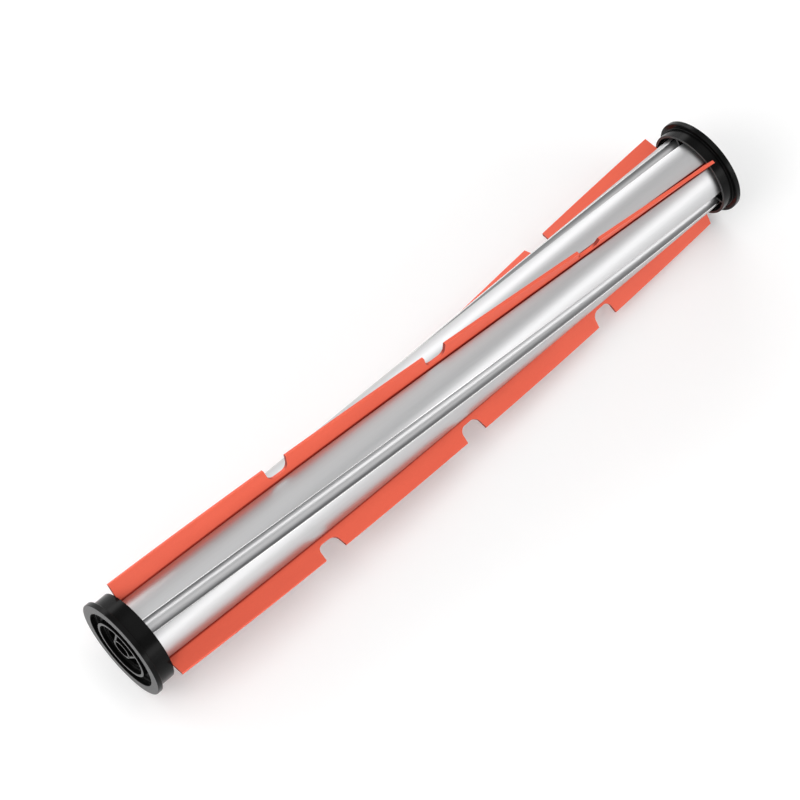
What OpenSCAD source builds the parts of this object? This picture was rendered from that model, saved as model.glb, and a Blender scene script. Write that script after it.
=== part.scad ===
// Beater roller for a powered vacuum floor head: a twisted aluminium extrusion that
// carries three flexible helical blades, closed by a moulded drive cap and a moulded
// idler cap with a shielded ball bearing on a fixed stub axle.
// Units are millimetres. The roller lies along X on the floor, +Z is up, and the
// drive end is at low X. The origin is under the middle of the whole length.

/* [Roller] */
// Length over the outer faces of the two caps
roller_len = 292; // [200:1:360]
// Turn of the helix between the two cap faces, in degrees
twist_angle = 69.5; // [0:0.5:100]
// Angle of the first blade at the drive face as it lies, from +Y towards +Z
lie_angle = 48.3; // [40:0.1:56]

/* [Core] */
// Outside diameter of the extrusion
core_d = 30.9; // [29:0.1:32]
// Wall of the extrusion
core_wall = 1.4; // [1.2:0.1:1.6]
// Distance across the inner lands that the cap spigots sit in
core_land_d = 19.6; // [19:0.1:20]

/* [Blade slots] */
// Width of a slot's mouth
slot_mouth_w = 2.3; // [1.8:0.05:3]
// Width of the room under the mouth
slot_room_w = 4.8; // [4:0.1:5.4]
// Thickness of the lips that hold a blade in
slot_lip_t = 1.3; // [1:0.05:1.6]
// Depth of a slot under the core's surface
slot_depth = 4; // [3.4:0.05:4.2]

/* [Channels] */
// Diameter of the round channels that run along the core
channel_d = 5.7; // [5:0.1:6.2]
// Depth of a channel under the core's surface
channel_depth = 2.9; // [2.4:0.05:3.3]

/* [Blades] */
// Diameter over the blade tips
blade_tip_d = 46.6; // [43:0.1:52]
// Thickness of a blade
blade_t = 1.25; // [0.8:0.05:1.6]
// Height of a blade's foot in its slot
blade_foot_h = 2.3; // [1.6:0.05:2.4]
// Distance of the first notch from the drive face
notch_first = 81.3; // [40:0.1:110]
// Distance from one notch to the next
notch_pitch = 71.65; // [30:0.05:90]
// Width of a notch at the blade's tip
notch_mouth_w = 9.7; // [8.5:0.1:14]
// Width of a notch at its floor
notch_floor_w = 8.2; // [7:0.1:8.4]
// Depth of a notch
notch_depth = 5.8; // [4:0.1:6.2]
// Radius of a notch's floor corners
notch_corner_r = 3; // [1:0.1:3.2]

/* [Cap flanges] */
// Diameter of both end flanges
flange_d = 40; // [38:0.1:42]
// Thickness of both end flanges
flange_t = 2.1; // [1.6:0.05:3]
// Chamfer on the edges of both caps
cap_chamfer = 0.25; // [0.1:0.05:0.4]
// Gap round the core inside a cap sleeve
sleeve_gap = 1.5; // [1.1:0.05:1.8]

/* [Drive cap] */
// Outside diameter of the drive cap's sleeve
drive_sleeve_d = 37; // [36.4:0.1:37.6]
// Length of the sleeve from the outer face to its mouth
drive_sleeve_len = 8.65; // [7.6:0.05:12]
// Wall between the drive face's ring groove and the sleeve's outside
drive_wall_w = 2.4; // [1.8:0.05:3]
// Depth of the ring groove inside that rim
drive_groove_depth = 2.4; // [1.5:0.1:3.6]
// Thickness of the floor between the groove and the core
drive_floor_t = 2.6; // [1.2:0.1:3]
// Outside diameter of the socket ring
socket_ring_d = 24.2; // [23.8:0.1:25.4]
// Inside diameter of the socket ring
socket_mouth_d = 21.8; // [20.8:0.1:22.2]
// Depth of the ledge inside the socket ring
socket_ledge_depth = 1.9; // [1:0.1:3]
// Diameter of the socket under the ledge
socket_d = 17.4; // [17:0.1:17.8]
// Depth of the socket from the drive face
socket_depth = 14; // [10:0.5:20]
// Thickness of the socket's floor
socket_floor_t = 1.8; // [1.2:0.1:3]
// Outside diameter of the hub tube in the socket
hub_d = 8.4; // [8:0.1:9]
// Bore of the hub tube, for the centring pin of the drive
hub_bore_d = 6.5; // [5.6:0.1:7]
// Depth of that bore under the hub's end
hub_bore_depth = 12; // [6:0.5:13]
// How far the hub and its webs stay under the drive face
hub_drop = 0.5; // [0:0.1:1.5]
// Thickness of the two keyhole webs
web_t = 0.85; // [0.6:0.05:1.2]
// How far each web lies inside the hub's side
web_set = 0.15; // [0.1:0.05:0.5]
// Angle by which each web opens outwards
web_flare = 9.7; // [6:0.1:14]
// Direction of the keyhole, from the first blade
web_angle = 63.3; // [0:0.1:360]

/* [Idler cap] */
// Outside diameter of the idler cap's sleeve
idler_sleeve_d = 35.9; // [35.6:0.1:36.6]
// Length of the sleeve from the outer face to its mouth
idler_sleeve_len = 6.8; // [6:0.05:9]
// Wall between the idler face's ring groove and the sleeve's outside
idler_wall_w = 1.85; // [1.6:0.05:2.6]
// Depth of the ring groove inside that rim
idler_groove_depth = 1.6; // [0.8:0.1:2]
// Thickness of the floor between the groove and the core
idler_floor_t = 1.8; // [1.4:0.1:2.2]
// Outside diameter of the boss round the seal
idler_boss_d = 22; // [21:0.1:24]
// Depth of the bearing's outer side under the idler face
bearing_inset = 2.6; // [2.2:0.05:3.2]
// Length of the stop behind the bearing
bearing_stop_t = 1.2; // [0.8:0.1:2]
// Opening of that stop
bearing_stop_d = 13.2; // [12.8:0.1:14.4]

/* [Keys] */
// Thickness of the key ribs in the cap sleeves
key_t = 0.9; // [0.6:0.05:1.2]
// How far a key rib reaches into its channel
key_reach = 1.6; // [0.8:0.1:2.2]
// Sideways offset of a key rib from the middle of its channel
key_offset = 1.05; // [0:0.05:1.3]

/* [Bearing] */
// Bore of the bearing
bearing_bore_d = 8; // [7.8:0.05:8.2]
// Outside diameter of the bearing
bearing_d = 16; // [15.8:0.05:16.2]
// Width of the bearing
bearing_w = 5; // [4.6:0.1:6]
// Diameter of the balls
ball_d = 2; // [1.8:0.02:2.2]
// Number of balls
ball_count = 9; // [7:1:10]
// Height of the shoulder beside each ball groove
race_shoulder = 0.3; // [0.2:0.02:0.36]
// Thickness of the two shields
shield_t = 0.3; // [0.2:0.02:0.4]
// Thickness of the cage ring
cage_t = 0.6; // [0.4:0.02:0.7]
// Width of the cage
cage_w = 2.8; // [2.6:0.05:3]

/* [Axle] */
// How far the stub axle stands out of the idler face
axle_reach = 7; // [5:0.5:10]
// Chamfer at both ends of the axle
axle_chamfer = 0.4; // [0.2:0.05:0.8]
// Diameter of the collar that sits against the bearing
axle_collar_d = 10; // [9.4:0.1:10.4]
// Thickness of that collar
axle_collar_t = 1.4; // [1:0.05:1.8]
// Axle left beyond the clip at the inner end
axle_tail = 1.5; // [1:0.1:3]
// Depth of the clip's groove
clip_groove = 0.5; // [0.3:0.05:0.6]
// Thickness of the clip
clip_t = 0.8; // [0.6:0.05:1.2]
// Outside diameter of the clip
clip_d = 11.6; // [10.6:0.1:12.2]
// Opening of the clip, in degrees
clip_gap = 70; // [40:1:100]
// Outside diameter of the spacer washer
washer_d = 11; // [9.8:0.1:12]
// Thickness of the spacer washer
washer_t = 0.5; // [0.3:0.05:1]

/* [Hair seal] */
// Outside diameter of the seal ring
seal_d = 18; // [17:0.1:19]
// Thickness of the seal ring
seal_t = 1.4; // [0.8:0.05:1.5]
// Depth of the seal under the idler face
seal_inset = 0.6; // [0.3:0.05:0.7]

/* [Fits] */
// Clearance round a blade's foot in its slot
blade_fit = 0.1; // [0.05:0.01:0.2]
// Clearance between a cap's spigot and the core's lands
spigot_fit = 0.05; // [0.02:0.01:0.1]
// Gap between the core's ends and the cap floors
end_fit = 0.1; // [0.05:0.01:0.3]
// Gap between the blades and the cap mouths
blade_end_fit = 0.1; // [0.05:0.01:0.5]
// Running clearance of the balls
ball_fit = 0.02; // [0.01:0.005:0.04]
// Clearance of parts that turn past each other
turn_gap = 0.25; // [0.15:0.01:0.3]

/* [Hidden] */

// Blades stand at equal steps, with a channel midway between each two
blade_count = 3;
blade_step = 360 / blade_count;
channel_shift = blade_step / 2;

// Facets: one slice of a twisted wall per this turn, and the sides of round forms
slice_turn = 5;
core_sides = 64;
channel_sides = 40;
round_sides = 96;
small_sides = 48;

// Cuts pass this far beyond what they cut
over = 1;

// Depth to which the hub and its webs root in the socket's walls
web_root = 0.4;

turn_rate = twist_angle / roller_len;
core_r = core_d / 2;
land_r = core_land_d / 2;
tip_r = blade_tip_d / 2;
flange_r = flange_d / 2;
spigot_r = land_r - spigot_fit;
sleeve_in_r = core_r + sleeve_gap;
slot_floor_r = core_r - slot_depth;
channel_r = channel_d / 2;
channel_axis_r = core_r - channel_depth + channel_r;

// Stations along the roller, from the drive face
core_start = drive_groove_depth + drive_floor_t + end_fit;
core_end = roller_len - idler_groove_depth - idler_floor_t - end_fit;
drive_mouth = drive_sleeve_len;
idler_mouth = roller_len - idler_sleeve_len;
fin_start = drive_mouth + blade_end_fit;
fin_end = idler_mouth - blade_end_fit;
bearing_out = roller_len - bearing_inset;
bearing_in = bearing_out - bearing_w;
bearing_mid = (bearing_out + bearing_in) / 2;
axle_out = roller_len + axle_reach;
washer_in = bearing_in - washer_t;
clip_in = washer_in - clip_t;
axle_in = clip_in - axle_tail;

// Bearing radii, from the balls outwards
axle_r = bearing_bore_d / 2;
pitch_r = (bearing_bore_d + bearing_d) / 4;
ball_r = ball_d / 2;
groove_r = ball_r + ball_fit;
inner_land_r = pitch_r - ball_r + race_shoulder;
outer_land_r = pitch_r + ball_r - race_shoulder;
shield_seat_r = outer_land_r + race_shoulder;
shield_in_r = inner_land_r + turn_gap;

// The roller rests on its lowest blade tip or flange
fin_stations = [for (k = [0 : 48]) fin_start + (fin_end - fin_start) * k / 48];
blade_drops = [
    for (b = [0 : blade_count - 1])
        for (s = fin_stations)
            let (a = lie_angle + b * blade_step + turn_rate * s)
                abs(cos(a)) * blade_t / 2 - tip_r * sin(a)
];
rest_height = max(flange_r, max(blade_drops));
middle = axle_out / 2;

// Lays what is drawn along +Z down along +X, at its resting height
module lay() {
    translate([-middle, 0, rest_height])
        rotate([90, 0, 90])
            rotate([0, 0, lie_angle])
                children();
}

// Twists a section over the core's whole length
module twist_along() {
    span = core_end - core_start;
    turn = turn_rate * span;
    translate([0, 0, core_start])
        rotate([0, 0, turn_rate * core_start])
            linear_extrude(height = span, twist = -turn, slices = max(1, ceil(turn / slice_turn)))
                children();
}

// Repeats a section at each blade, or midway between blades
module at_blades() {
    for (b = [0 : blade_count - 1])
        rotate([0, 0, b * blade_step])
            children();
}

module at_channels() {
    rotate([0, 0, channel_shift])
        at_blades()
            children();
}

// A bar of the section that reaches outwards from one radius to another
module radial_bar(from_r, to_r, width) {
    translate([from_r, -width / 2])
        square([to_r - from_r, width]);
}

module core_section() {
    skin_in_r = core_r - core_wall;
    difference() {
        circle(r = core_r, $fn = core_sides);
        difference() {
            circle(r = skin_in_r, $fn = core_sides);
            at_blades()
                radial_bar(land_r, core_r, slot_room_w + 2 * core_wall);
            at_channels()
                translate([channel_axis_r, 0])
                    circle(r = channel_r + core_wall, $fn = channel_sides);
        }
        at_blades() {
            radial_bar(slot_floor_r, core_r - slot_lip_t, slot_room_w);
            radial_bar(slot_floor_r, core_r + over, slot_mouth_w);
        }
        at_channels() {
            translate([channel_axis_r, 0])
                circle(r = channel_r, $fn = channel_sides);
            radial_bar(channel_axis_r, core_r + channel_r + over, channel_d);
        }
    }
}

module core() {
    color("silver")
        lay()
            twist_along()
                core_section();
}

module blade_section() {
    foot_r = slot_floor_r + blade_fit;
    radial_bar(foot_r, foot_r + blade_foot_h, slot_room_w - 2 * blade_fit);
    radial_bar(foot_r, tip_r, blade_t);
}

// U-shaped notch in the plane of a blade, seen along the roller
module notch_shape() {
    notch_r = tip_r - notch_depth;
    corner_y = notch_floor_w / 2 - notch_corner_r;
    for (side = [-1, 1])
        translate([notch_r + notch_corner_r, side * corner_y])
            circle(r = notch_corner_r, $fn = small_sides);
    radial_bar(notch_r, notch_r + notch_corner_r, 2 * corner_y);
    polygon([
        [notch_r + notch_corner_r, -notch_floor_w / 2],
        [tip_r, -notch_mouth_w / 2],
        [tip_r + over, -notch_mouth_w / 2],
        [tip_r + over, notch_mouth_w / 2],
        [tip_r, notch_mouth_w / 2],
        [notch_r + notch_corner_r, notch_floor_w / 2]
    ]);
}

module notches() {
    cut_w = 4 * blade_t;
    for (s = [notch_first : notch_pitch : fin_end - notch_mouth_w])
        rotate([0, 0, turn_rate * s])
            translate([0, 0, s])
                rotate([90, 0, 0])
                    linear_extrude(height = cut_w, center = true)
                        notch_shape();
}

// Cuts the fin away where a cap's sleeve passes over the slot
module fin_trim(from, to) {
    trim_r = tip_r + over;
    translate([0, 0, from])
        difference() {
            cylinder(r = trim_r, h = to - from, $fn = round_sides);
            translate([0, 0, -over])
                cylinder(r = core_r, h = to - from + 2 * over, $fn = round_sides);
        }
}

module blade(index) {
    lay()
        rotate([0, 0, index * blade_step])
            difference() {
                twist_along()
                    blade_section();
                fin_trim(core_start - over, fin_start);
                fin_trim(fin_end, core_end + over);
                notches();
            }
}

module blade_a() {
    color("tomato")
        blade(0);
}

module blade_b() {
    color("orangered")
        blade(1);
}

module blade_c() {
    color("coral")
        blade(2);
}

// Key ribs on the inside of a cap sleeve, one in each channel
module key_ribs(from, to, angle) {
    rotate([0, 0, angle])
        translate([0, 0, from])
            linear_extrude(height = to - from)
                at_channels()
                    translate([0, key_offset])
                        radial_bar(core_r - key_reach, sleeve_in_r + cap_chamfer, key_t);
}

// Half section of the drive cap: socket, ring groove, rim, flange, sleeve and spigot
module drive_cap_section() {
    c = cap_chamfer;
    sleeve_r = drive_sleeve_d / 2;
    rim_in_r = sleeve_r - drive_wall_w;
    groove_floor = drive_groove_depth;
    cap_floor = drive_groove_depth + drive_floor_t;
    spigot_end = socket_depth + socket_floor_t;
    polygon([
        [0, socket_depth],
        [socket_d / 2, socket_depth],
        [socket_d / 2, socket_ledge_depth],
        [socket_mouth_d / 2, socket_ledge_depth],
        [socket_mouth_d / 2, 0],
        [socket_ring_d / 2, 0],
        [socket_ring_d / 2, groove_floor],
        [rim_in_r, groove_floor],
        [rim_in_r, 0],
        [flange_r - c, 0],
        [flange_r, c],
        [flange_r, flange_t - c],
        [flange_r - c, flange_t],
        [sleeve_r, flange_t],
        [sleeve_r, drive_sleeve_len - c],
        [sleeve_r - c, drive_sleeve_len],
        [sleeve_in_r, drive_sleeve_len],
        [sleeve_in_r, cap_floor],
        [spigot_r, cap_floor],
        [spigot_r, spigot_end - c],
        [spigot_r - c, spigot_end],
        [0, spigot_end]
    ]);
}

// The two webs of the keyhole, from the sides of the hub out into a round wall
module keyhole_webs(wall_r, depth) {
    root_r = wall_r + web_root;
    rotate([0, 0, web_angle])
        translate([0, 0, hub_drop])
            linear_extrude(height = depth + web_root - hub_drop)
                intersection() {
                    circle(r = root_r, $fn = round_sides);
                    for (side = [-1, 1])
                        rotate([0, 0, side * web_flare])
                            translate([0, side * (hub_d / 2 - web_set - web_t / 2)])
                                radial_bar(0, root_r, web_t);
                }
}

module drive_cap() {
    color("dimgray")
        lay() {
            difference() {
                union() {
                    rotate_extrude($fn = round_sides)
                        drive_cap_section();
                    translate([0, 0, hub_drop])
                        cylinder(d = hub_d, h = socket_depth + web_root - hub_drop, $fn = small_sides);
                    keyhole_webs(socket_d / 2, socket_depth);
                    keyhole_webs(socket_mouth_d / 2, socket_ledge_depth);
                }
                translate([0, 0, hub_drop - over])
                    cylinder(d = hub_bore_d, h = hub_bore_depth + over, $fn = small_sides);
            }
            key_ribs(
                drive_groove_depth + drive_floor_t,
                drive_sleeve_len,
                turn_rate * (core_start + drive_mouth) / 2
            );
        }
}

// Half section of the idler cap, measured inwards from its outer face
module idler_cap_section() {
    c = cap_chamfer;
    sleeve_r = idler_sleeve_d / 2;
    rim_in_r = sleeve_r - idler_wall_w;
    cap_floor = idler_groove_depth + idler_floor_t;
    seat_end = bearing_inset + bearing_w;
    spigot_end = seat_end + bearing_stop_t;
    polygon([
        [seal_d / 2, 0],
        [idler_boss_d / 2, 0],
        [idler_boss_d / 2, idler_groove_depth],
        [rim_in_r, idler_groove_depth],
        [rim_in_r, 0],
        [flange_r - c, 0],
        [flange_r, c],
        [flange_r, flange_t - c],
        [flange_r - c, flange_t],
        [sleeve_r, flange_t],
        [sleeve_r, idler_sleeve_len - c],
        [sleeve_r - c, idler_sleeve_len],
        [sleeve_in_r, idler_sleeve_len],
        [sleeve_in_r, cap_floor],
        [spigot_r, cap_floor],
        [spigot_r, spigot_end - c],
        [spigot_r - c, spigot_end],
        [bearing_stop_d / 2, spigot_end],
        [bearing_stop_d / 2, seat_end],
        [bearing_d / 2, seat_end],
        [bearing_d / 2, bearing_inset],
        [seal_d / 2, bearing_inset]
    ]);
}

module idler_cap() {
    color("dimgray")
        lay() {
            translate([0, 0, roller_len])
                mirror([0, 0, 1])
                    rotate_extrude($fn = round_sides)
                        idler_cap_section();
            key_ribs(
                idler_mouth,
                roller_len - idler_groove_depth - idler_floor_t,
                turn_rate * (core_end + idler_mouth) / 2
            );
        }
}

// Ball groove of either ring
module ball_groove() {
    translate([0, 0, bearing_mid])
        rotate_extrude($fn = round_sides)
            translate([pitch_r, 0])
                circle(r = groove_r, $fn = small_sides);
}

// A ring with square edges along the roller
module ring(out_r, in_r, from, to) {
    translate([0, 0, from])
        difference() {
            cylinder(r = out_r, h = to - from, $fn = round_sides);
            translate([0, 0, -over])
                cylinder(r = in_r, h = to - from + 2 * over, $fn = round_sides);
        }
}

module bearing_outer_ring() {
    color("lightsteelblue")
        lay()
            difference() {
                ring(bearing_d / 2, outer_land_r, bearing_in, bearing_out);
                ball_groove();
                ring(shield_seat_r, inner_land_r, bearing_in - over, bearing_in + shield_t);
                ring(shield_seat_r, inner_land_r, bearing_out - shield_t, bearing_out + over);
            }
}

module bearing_inner_ring() {
    color("lightsteelblue")
        lay()
            difference() {
                ring(inner_land_r, axle_r, bearing_in, bearing_out);
                ball_groove();
            }
}

module bearing_balls() {
    color("white")
        lay()
            for (k = [0 : ball_count - 1])
                rotate([0, 0, k * 360 / ball_count])
                    translate([pitch_r, 0, bearing_mid])
                        sphere(r = ball_r, $fn = small_sides);
}

module bearing_cage() {
    color("goldenrod")
        lay()
            difference() {
                ring(
                    pitch_r + cage_t / 2,
                    pitch_r - cage_t / 2,
                    bearing_mid - cage_w / 2,
                    bearing_mid + cage_w / 2
                );
                for (k = [0 : ball_count - 1])
                    rotate([0, 0, k * 360 / ball_count])
                        translate([pitch_r, 0, bearing_mid])
                            rotate([0, 90, 0])
                                cylinder(r = groove_r, h = 2 * ball_d, center = true, $fn = small_sides);
            }
}

module bearing_shield_inner() {
    color("gray")
        lay()
            ring(shield_seat_r, shield_in_r, bearing_in, bearing_in + shield_t);
}

module bearing_shield_outer() {
    color("gray")
        lay()
            ring(shield_seat_r, shield_in_r, bearing_out - shield_t, bearing_out);
}

// Half section of the axle, from its inner tail to its free end
module axle_section() {
    c = axle_chamfer;
    polygon([
        [0, axle_in],
        [axle_r - c, axle_in],
        [axle_r, axle_in + c],
        [axle_r, clip_in],
        [axle_r - clip_groove, clip_in],
        [axle_r - clip_groove, washer_in],
        [axle_r, washer_in],
        [axle_r, bearing_out],
        [axle_collar_d / 2, bearing_out],
        [axle_collar_d / 2, bearing_out + axle_collar_t],
        [axle_r, bearing_out + axle_collar_t],
        [axle_r, axle_out - c],
        [axle_r - c, axle_out],
        [0, axle_out]
    ]);
}

module axle() {
    color("slategray")
        lay()
            rotate_extrude($fn = round_sides)
                axle_section();
}

module spacer_washer() {
    color("lightgray")
        lay()
            ring(washer_d / 2, axle_r, washer_in, bearing_in);
}

module axle_clip() {
    gap_r = clip_d;
    color("darkslategray")
        lay()
            translate([0, 0, clip_in])
                linear_extrude(height = clip_t)
                    difference() {
                        circle(d = clip_d, $fn = round_sides);
                        circle(r = axle_r - clip_groove, $fn = round_sides);
                        polygon([
                            [0, 0],
                            [gap_r * cos(clip_gap / 2), -gap_r * sin(clip_gap / 2)],
                            [gap_r, 0],
                            [gap_r * cos(clip_gap / 2), gap_r * sin(clip_gap / 2)]
                        ]);
                    }
}

module hair_seal() {
    seal_out = roller_len - seal_inset;
    color("darkolivegreen")
        lay()
            ring(seal_d / 2, axle_collar_d / 2 + turn_gap, seal_out - seal_t, seal_out);
}

core();
blade_a();
blade_b();
blade_c();
drive_cap();
idler_cap();
bearing_outer_ring();
bearing_inner_ring();
bearing_balls();
bearing_cage();
bearing_shield_inner();
bearing_shield_outer();
axle();
spacer_washer();
axle_clip();
hair_seal();
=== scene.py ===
import math
import bpy
import bmesh
from mathutils import Matrix, Vector


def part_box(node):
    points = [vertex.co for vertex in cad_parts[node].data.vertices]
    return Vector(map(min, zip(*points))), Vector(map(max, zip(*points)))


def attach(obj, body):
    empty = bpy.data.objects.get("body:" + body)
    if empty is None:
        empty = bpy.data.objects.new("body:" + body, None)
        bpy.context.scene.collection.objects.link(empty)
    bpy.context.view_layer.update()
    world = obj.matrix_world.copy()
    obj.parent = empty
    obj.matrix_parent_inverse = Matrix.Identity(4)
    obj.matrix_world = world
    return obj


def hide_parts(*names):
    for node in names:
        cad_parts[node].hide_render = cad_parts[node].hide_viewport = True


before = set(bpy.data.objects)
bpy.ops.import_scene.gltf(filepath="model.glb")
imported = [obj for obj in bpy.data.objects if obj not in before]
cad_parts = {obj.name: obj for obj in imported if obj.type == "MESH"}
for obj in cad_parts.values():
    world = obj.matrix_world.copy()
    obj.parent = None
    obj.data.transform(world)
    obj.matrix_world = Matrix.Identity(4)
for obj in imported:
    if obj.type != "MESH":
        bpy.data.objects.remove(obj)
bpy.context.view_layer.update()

mm = 0.001

# the roller's line, read from the drive cap of the frame
capLow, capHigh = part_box("drive_cap")
driveX = capLow[0]
axisZ = (capLow[2] + capHigh[2]) / 2

roller = {
    # stations are counted along the axis from the drive face
    "length": 292 * mm,
    "turn": math.radians(69.5),      # of the helix over the whole length
    "lie": math.radians(48.3),       # first blade at the drive face, from +Y up
    "blades": 3,
    "coreStart": 5.1 * mm,
    "coreEnd": 288.5 * mm,
    "driveMouth": 8.65 * mm,         # where the sleeves of the two caps end
    "idlerMouth": 285.2 * mm,
}
roller["rate"] = roller["turn"] / roller["length"]
roller["bladeStep"] = 2 * math.pi / roller["blades"]


# the camera stands where the photograph's did

cameraSettings = {
    "fromDriveFace": (-0.2468, -0.4016, 1.0280),
    "looking": (0.3296, 0.3473, -0.8780),
    "lens": 144.98,
    "sensor": 36,
    "nearest": 0.05,
    "furthest": 20,
}


def placeCamera():
    looking = Vector(cameraSettings["looking"]).normalized()
    right = looking.cross(Vector((0, 0, 1))).normalized()
    upward = right.cross(looking)
    turn = Matrix((right, upward, -looking)).transposed().to_4x4()
    data = bpy.data.cameras.new("photoCamera")
    data.sensor_width = cameraSettings["sensor"]
    data.sensor_fit = "HORIZONTAL"
    data.lens = cameraSettings["lens"]
    data.clip_start = cameraSettings["nearest"]
    data.clip_end = cameraSettings["furthest"]
    camera = bpy.data.objects.new("photoCamera", data)
    spot = Vector((driveX, 0, axisZ)) + Vector(cameraSettings["fromDriveFace"])
    camera.matrix_world = Matrix.Translation(spot) @ turn
    bpy.context.scene.collection.objects.link(camera)
    bpy.context.scene.camera = camera
    print("camera at", [round(c, 4) for c in spot])


placeCamera()


# small helpers for node trees

mixSlots = {"FLOAT": (2, 3, 0), "RGBA": (6, 7, 2)}   # of a Mix node: both inputs and the output


def addNode(tree, kind, inputs=None, **settings):
    node = tree.nodes.new(kind)
    for name, value in settings.items():
        setattr(node, name, value)
    for name, value in (inputs or {}).items():
        node.inputs[name].default_value = value
    return node


def join(tree, source, target):
    tree.links.new(source, target)


def feed(tree, value, target):
    # a socket is linked, a number or a colour is set
    if isinstance(value, bpy.types.NodeSocket):
        join(tree, value, target)
    else:
        target.default_value = value


def doSum(tree, operation, first, second=0):
    # a Math node whose two inputs are sockets or numbers
    node = addNode(tree, "ShaderNodeMath", operation=operation)
    feed(tree, first, node.inputs[0])
    feed(tree, second, node.inputs[1])
    return node.outputs[0]


def mixTwo(tree, kind, share, first, second):
    mix = addNode(tree, "ShaderNodeMix", data_type=kind)
    firstSlot, secondSlot, result = mixSlots[kind]
    feed(tree, share, mix.inputs[0])
    feed(tree, first, mix.inputs[firstSlot])
    feed(tree, second, mix.inputs[secondSlot])
    return mix.outputs[result]


def mixedValue(tree, mask, low, high):
    span = addNode(tree, "ShaderNodeMapRange", {"To Min": low, "To Max": high})
    join(tree, mask, span.inputs["Value"])
    return span.outputs["Result"]


def softStep(tree, source, span, before, after):
    step = addNode(tree, "ShaderNodeMapRange", {
        "From Min": span[0], "From Max": span[1], "To Min": before, "To Max": after,
    }, interpolation_type="SMOOTHSTEP")
    join(tree, source, step.inputs["Value"])
    return step.outputs["Result"]


def distance(tree, value, mark):
    return doSum(tree, "ABSOLUTE", doSum(tree, "SUBTRACT", value, mark))


def splitVector(tree, vector):
    split = addNode(tree, "ShaderNodeSeparateXYZ")
    join(tree, vector, split.inputs[0])
    return split.outputs


def newGeometryTree(name, sockets):
    tree = bpy.data.node_groups.new(name, "GeometryNodeTree")
    tree.interface.new_socket("Geometry", in_out="OUTPUT", socket_type="NodeSocketGeometry")
    tree.interface.new_socket("Geometry", in_out="INPUT", socket_type="NodeSocketGeometry")
    for label, kind in sockets:
        tree.interface.new_socket(label, in_out="INPUT", socket_type="NodeSocket" + kind)
    return tree, addNode(tree, "NodeGroupInput"), addNode(tree, "NodeGroupOutput")


def endTree(tree, geometry, material, leave):
    real = addNode(tree, "GeometryNodeRealizeInstances")
    join(tree, geometry, real.inputs[0])
    paint = addNode(tree, "GeometryNodeSetMaterial")
    join(tree, real.outputs[0], paint.inputs["Geometry"])
    join(tree, material, paint.inputs["Material"])
    join(tree, paint.outputs[0], leave.inputs[0])


def socketId(tree, label):
    for item in tree.interface.items_tree:
        if item.item_type == "SOCKET" and item.in_out == "INPUT" and item.name == label:
            return item.identifier


# making and joining plain meshes

weldGap = 0.002 * mm                 # points nearer than this are one


def looseObject(name, mesh):
    thing = bpy.data.objects.new(name, mesh)
    bpy.context.scene.collection.objects.link(thing)
    return thing


def plainMesh(thing):
    # the object's mesh with its modifiers applied
    bpy.context.view_layer.update()
    shaped = thing.evaluated_get(bpy.context.evaluated_depsgraph_get())
    return bpy.data.meshes.new_from_object(shaped)


def takeMesh(work, name):
    # a new mesh from mesh work that is done
    mesh = bpy.data.meshes.new(name)
    work.to_mesh(mesh)
    work.free()
    return mesh


def runTree(source, tree, values):
    # runs a tree on a base object and gives back the plain mesh
    modifier = source.modifiers.new("shape", "NODES")
    modifier.node_group = tree
    for label, value in values.items():
        modifier[socketId(tree, label)] = value
    mesh = plainMesh(source)
    source.modifiers.remove(modifier)
    bpy.data.objects.remove(source)
    return mesh


def cleanShell(mesh):
    part = bmesh.new()
    part.from_mesh(mesh)
    bmesh.ops.remove_doubles(part, verts=part.verts, dist=weldGap)
    bmesh.ops.dissolve_degenerate(part, edges=part.edges, dist=weldGap / 2)
    bmesh.ops.recalc_face_normals(part, faces=part.faces)
    part.to_mesh(mesh)
    part.free()


def markAcross(work, slope):
    # marks the faces that lie across the roller, for the finish to read
    gentle, full = slope
    across = work.faces.layers.float.new("faceAcross")
    work.normal_update()
    for face in work.faces:
        face[across] = min(1.0, max(0.0, (abs(face.normal.x) - gentle) / (full - gentle)))


def finishPiece(name, meshes, material, sharp=50, acrossSlope=None):
    # joins closed shells into one piece with outward normals and even shading;
    # edges sharper than that many degrees stay hard
    merged = bmesh.new()
    for mesh in meshes:
        cleanShell(mesh)
        merged.from_mesh(mesh)
        bpy.data.meshes.remove(mesh)
    for face in merged.faces:
        face.smooth = True
        face.material_index = 0
    for edge in merged.edges:
        if len(edge.link_faces) == 2:
            edge.smooth = edge.calc_face_angle(0) < math.radians(sharp)
    if acrossSlope:
        markAcross(merged, acrossSlope)
    openEdges = sum(1 for edge in merged.edges if len(edge.link_faces) != 2)
    result = takeMesh(merged, name)
    result.materials.clear()
    result.materials.append(material)
    piece = looseObject(name, result)
    weighted = piece.modifiers.new("flats", "WEIGHTED_NORMAL")
    weighted.keep_sharp = True
    even = plainMesh(piece)
    piece.modifiers.remove(weighted)
    piece.data = even
    even.name = name
    print(name, "faces", len(even.polygons), "open edges", openEdges)
    return piece


# outlines with rounded corners

outlineSettings = {
    "longestReach": 0.45,            # share of a side that one rounding may take
    "smallRadius": 0.3 * mm,         # a larger rounding gets twice the steps
}


def roundCorner(before, corner, after, radius, steps):
    # points of the arc that rounds one corner of an outline
    toBefore = before - corner
    toAfter = after - corner
    half = toBefore.angle(toAfter) / 2
    longest = outlineSettings["longestReach"]
    reach = min(radius / math.tan(half), longest * toBefore.length, longest * toAfter.length)
    radius = reach * math.tan(half)
    inward = (toBefore.normalized() + toAfter.normalized()).normalized()
    centre = corner + inward * radius / math.sin(half)
    start = corner + toBefore.normalized() * reach - centre
    end = corner + toAfter.normalized() * reach - centre
    sweep = start.angle_signed(end)
    return [centre + Matrix.Rotation(-sweep * k / steps, 2) @ start for k in range(steps + 1)]


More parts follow.
